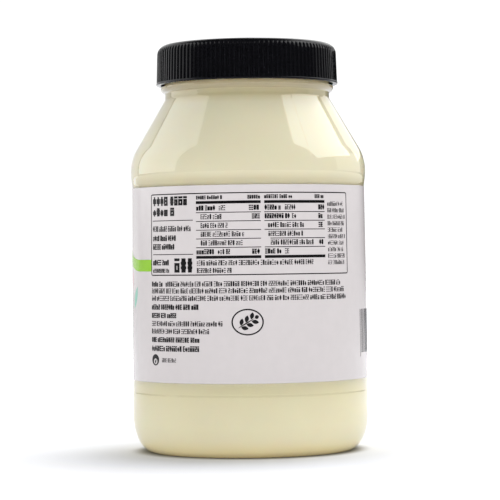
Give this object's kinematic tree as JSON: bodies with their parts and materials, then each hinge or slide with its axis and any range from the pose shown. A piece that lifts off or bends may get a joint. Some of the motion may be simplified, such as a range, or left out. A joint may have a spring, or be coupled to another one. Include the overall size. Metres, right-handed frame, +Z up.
{
  "type": "jar of mayonnaise",
  "caption": "Large clear plastic jar filled with pale mayonnaise, with a waisted label panel, a wrap-around label and a ribbed black screw cap.",
  "frame": {"origin": "middle of the resting ring under the base, on the surface that the jar stands on", "axes": "+Z up along the axis of the jar and its cap; the side with the ruled table on the label faces -Y"},
  "size_m": [0.0962, 0.0962, 0.1656],
  "materials": {
    "clear_plastic": "clear, glossy moulded plastic",
    "mayonnaise": "smooth pale cream emulsion",
    "label": "satin printed film",
    "cap_plastic": "black, satin to glossy moulded plastic"
  },
  "bodies": {
    "root": {"jar": "clear_plastic", "mayonnaise": "mayonnaise", "label": "label", "cap": "cap_plastic"}
  },
  "joints": []
}
